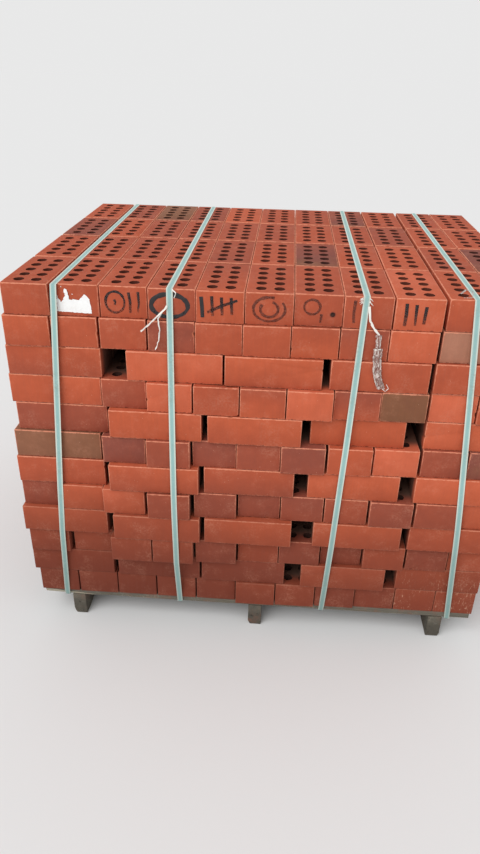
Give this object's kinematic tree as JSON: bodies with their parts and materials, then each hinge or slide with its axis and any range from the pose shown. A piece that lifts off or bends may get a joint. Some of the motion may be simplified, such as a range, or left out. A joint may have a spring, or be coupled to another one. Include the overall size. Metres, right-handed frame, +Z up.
{
  "type": "pallet of bricks",
  "caption": "Strapped pack of cored clay bricks, laid in courses of headers and stretchers on a low timber pallet with open fork ways.",
  "frame": {"origin": "at floor level, under the middle of the pack's box", "axes": "+Z up, +X to the right along the front, -Y out of the front face"},
  "size_m": [1.26, 0.9886, 1.0038],
  "materials": {
    "clay": "fired, matt, with pale arrises",
    "timber": "rough sawn, weathered grey",
    "strapping": "pale blue-green band with a lengthwise ribbing",
    "label_paper": "torn and creased",
    "film": "crumpled clear film, milky where it is folded"
  },
  "bodies": {
    "root": {"course_01": "clay", "course_02": "clay", "course_03": "clay", "course_04": "clay", "course_05": "clay", "course_06": "clay", "course_07": "clay", "course_08": "clay", "course_09": "clay", "course_10": "clay", "course_11": "clay", "course_12_front": "clay", "course_12_back": "clay", "hidden_bricks": "clay", "deck_board_1": "timber", "deck_board_2": "timber", "deck_board_3": "timber", "deck_board_4": "timber", "deck_board_5": "timber", "deck_board_6": "timber", "deck_board_7": "timber", "bearer_left": "timber", "bearer_middle": "timber", "bearer_right": "timber", "strap_1": "strapping", "strap_2": "strapping", "strap_3": "strapping", "strap_4": "strapping", "torn_label": "label_paper", "film_shred_left": "film", "film_shred_right": "film"}
  },
  "joints": []
}
